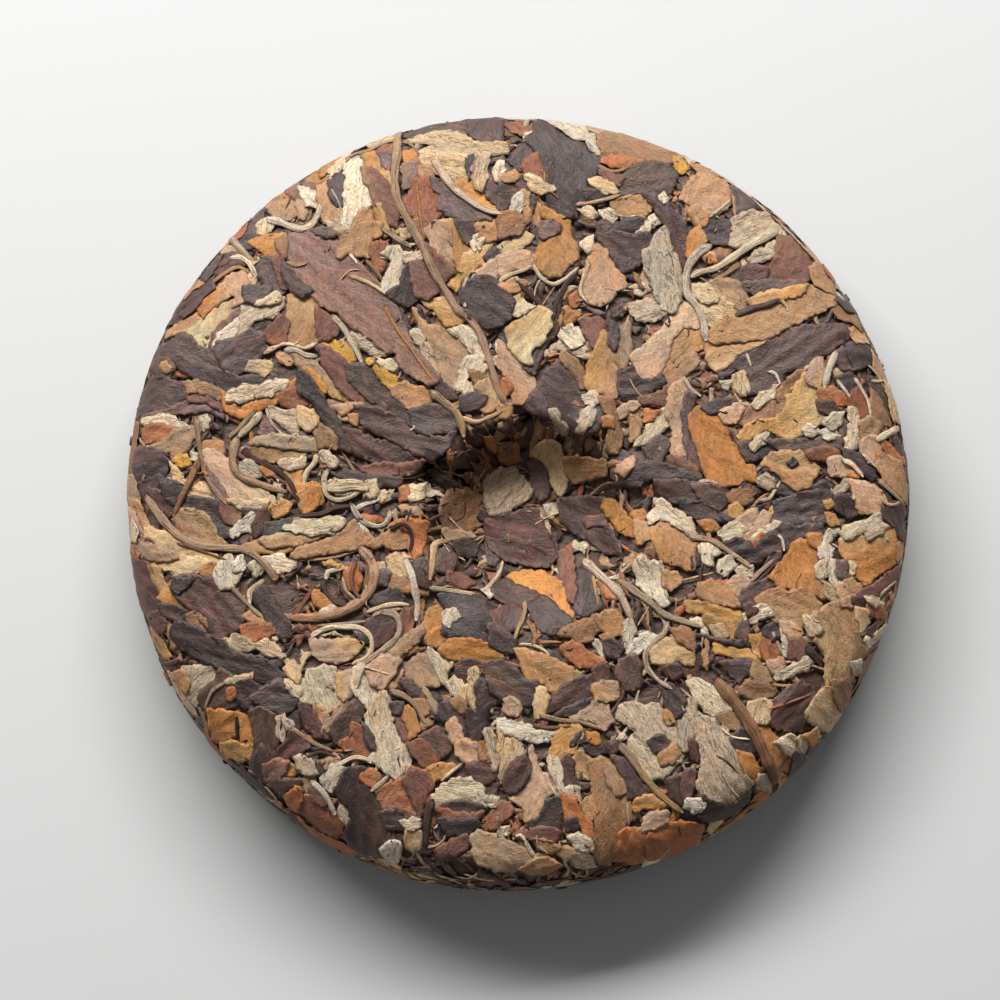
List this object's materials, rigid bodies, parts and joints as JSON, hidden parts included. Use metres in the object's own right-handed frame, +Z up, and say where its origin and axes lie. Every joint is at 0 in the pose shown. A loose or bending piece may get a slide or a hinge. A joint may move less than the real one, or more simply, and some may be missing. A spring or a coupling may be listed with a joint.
{
  "type": "white tea cake",
  "caption": "Round pressed cake of aged shou mei white tea leaves and stems, with a dimple in the middle of its upper face, resting flat on its underside.",
  "frame": {"origin": "middle of the cake's outline on the plane that it rests on", "axes": "+Z up through the dimple, out of the upper face; +X to the right and +Y away from the viewer as in the reference view"},
  "size_m": [0.2017, 0.1999, 0.0301],
  "materials": {
    "pressed_leaf": "dry matte pressed tea leaf in mixed plum, brown, tan and straw"
  },
  "bodies": {
    "root": {"tea_cake": "pressed_leaf"}
  },
  "joints": []
}
